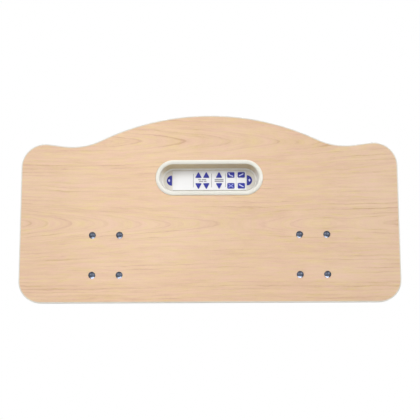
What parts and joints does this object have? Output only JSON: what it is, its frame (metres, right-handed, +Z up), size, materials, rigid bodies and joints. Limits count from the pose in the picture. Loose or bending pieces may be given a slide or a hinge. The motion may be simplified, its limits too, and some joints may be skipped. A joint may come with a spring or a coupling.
{
  "type": "hospital bed head panel",
  "caption": "Crowned wood-look head panel of a hospital bed with a recessed keypad for the bed's motions and steel sockets behind that drop over the bed's posts.",
  "frame": {"origin": "midway between the two lock holes, on the back face of the post sockets", "axes": "+X to the right as seen from the front, +Y from the front to the back along the lock holes, +Z up"},
  "size_m": [0.914, 0.0648, 0.4571],
  "materials": {
    "laminate": "satin maple laminate",
    "edge_band": "satin",
    "cream_plastic": "satin moulded",
    "label": "printed film",
    "key_plastic": "satin moulded",
    "plunger_plastic": "moulded",
    "dark_plastic": "moulded",
    "header_plastic": "moulded",
    "circuit_board": "solder mask",
    "zinc_steel": "zinc plated",
    "grey_plastic": "fine texture",
    "gland_rubber": "matt",
    "socket_paint": "grey powder coat",
    "bolt_finish": "dark satin"
  },
  "bodies": {
    "root": {"barrel_nuts": "bolt_finish", "board": "laminate", "cable_gland": "gland_rubber", "cable_header": "header_plastic", "chair_position_switch": "dark_plastic", "circuit_board": "circuit_board", "circuit_screws": "zinc_steel", "controller_chip": "dark_plastic", "cover_screws": "zinc_steel", "edge_band": "edge_band", "faceplate": "cream_plastic", "flat_position_switch": "dark_plastic", "foot_tilt_switch": "dark_plastic", "head_down_switch": "dark_plastic", "head_tilt_switch": "dark_plastic", "head_up_switch": "dark_plastic", "height_down_switch": "dark_plastic", "height_up_switch": "dark_plastic", "knee_down_switch": "dark_plastic", "knee_up_switch": "dark_plastic", "left_end_switch": "dark_plastic", "left_post_socket": "socket_paint", "overlay_label": "label", "rear_cover": "grey_plastic", "recess_pan": "cream_plastic", "right_end_switch": "dark_plastic", "right_post_socket": "socket_paint", "socket_screws": "zinc_steel", "washers": "zinc_steel"},
    "head_up_button": {"head_up_key": "key_plastic", "head_up_plunger": "plunger_plastic"},
    "head_down_button": {"head_down_key": "key_plastic", "head_down_plunger": "plunger_plastic"},
    "knee_up_button": {"knee_up_key": "key_plastic", "knee_up_plunger": "plunger_plastic"},
    "knee_down_button": {"knee_down_key": "key_plastic", "knee_down_plunger": "plunger_plastic"},
    "height_up_button": {"height_up_key": "key_plastic", "height_up_plunger": "plunger_plastic"},
    "height_down_button": {"height_down_key": "key_plastic", "height_down_plunger": "plunger_plastic"},
    "chair_position_button": {"chair_position_key": "key_plastic", "chair_position_plunger": "plunger_plastic"},
    "flat_position_button": {"flat_position_key": "key_plastic", "flat_position_plunger": "plunger_plastic"},
    "head_tilt_button": {"head_tilt_key": "key_plastic", "head_tilt_plunger": "plunger_plastic"},
    "foot_tilt_button": {"foot_tilt_key": "key_plastic", "foot_tilt_plunger": "plunger_plastic"},
    "left_end_button": {"left_end_key": "key_plastic", "left_end_plunger": "plunger_plastic"},
    "right_end_button": {"right_end_key": "key_plastic", "right_end_plunger": "plunger_plastic"}
  },
  "joints": [
    {"name": "head_up_press", "type": "slide", "parent": "root", "child": "head_up_button", "axis": [0, 1, 0], "range_m": [0, 0.001], "stiffness_N_per_m": 800, "springref_m": -0.001},
    {"name": "head_down_press", "type": "slide", "parent": "root", "child": "head_down_button", "axis": [0, 1, 0], "range_m": [0, 0.001], "stiffness_N_per_m": 800, "springref_m": -0.001},
    {"name": "knee_up_press", "type": "slide", "parent": "root", "child": "knee_up_button", "axis": [0, 1, 0], "range_m": [0, 0.001], "stiffness_N_per_m": 800, "springref_m": -0.001},
    {"name": "knee_down_press", "type": "slide", "parent": "root", "child": "knee_down_button", "axis": [0, 1, 0], "range_m": [0, 0.001], "stiffness_N_per_m": 800, "springref_m": -0.001},
    {"name": "height_up_press", "type": "slide", "parent": "root", "child": "height_up_button", "axis": [0, 1, 0], "range_m": [0, 0.001], "stiffness_N_per_m": 800, "springref_m": -0.001},
    {"name": "height_down_press", "type": "slide", "parent": "root", "child": "height_down_button", "axis": [0, 1, 0], "range_m": [0, 0.001], "stiffness_N_per_m": 800, "springref_m": -0.001},
    {"name": "chair_position_press", "type": "slide", "parent": "root", "child": "chair_position_button", "axis": [0, 1, 0], "range_m": [0, 0.001], "stiffness_N_per_m": 800, "springref_m": -0.001},
    {"name": "flat_position_press", "type": "slide", "parent": "root", "child": "flat_position_button", "axis": [0, 1, 0], "range_m": [0, 0.001], "stiffness_N_per_m": 800, "springref_m": -0.001},
    {"name": "head_tilt_press", "type": "slide", "parent": "root", "child": "head_tilt_button", "axis": [0, 1, 0], "range_m": [0, 0.001], "stiffness_N_per_m": 800, "springref_m": -0.001},
    {"name": "foot_tilt_press", "type": "slide", "parent": "root", "child": "foot_tilt_button", "axis": [0, 1, 0], "range_m": [0, 0.001], "stiffness_N_per_m": 800, "springref_m": -0.001},
    {"name": "left_end_press", "type": "slide", "parent": "root", "child": "left_end_button", "axis": [0, 1, 0], "range_m": [0, 0.001], "stiffness_N_per_m": 800, "springref_m": -0.001},
    {"name": "right_end_press", "type": "slide", "parent": "root", "child": "right_end_button", "axis": [0, 1, 0], "range_m": [0, 0.001], "stiffness_N_per_m": 800, "springref_m": -0.001}
  ]
}
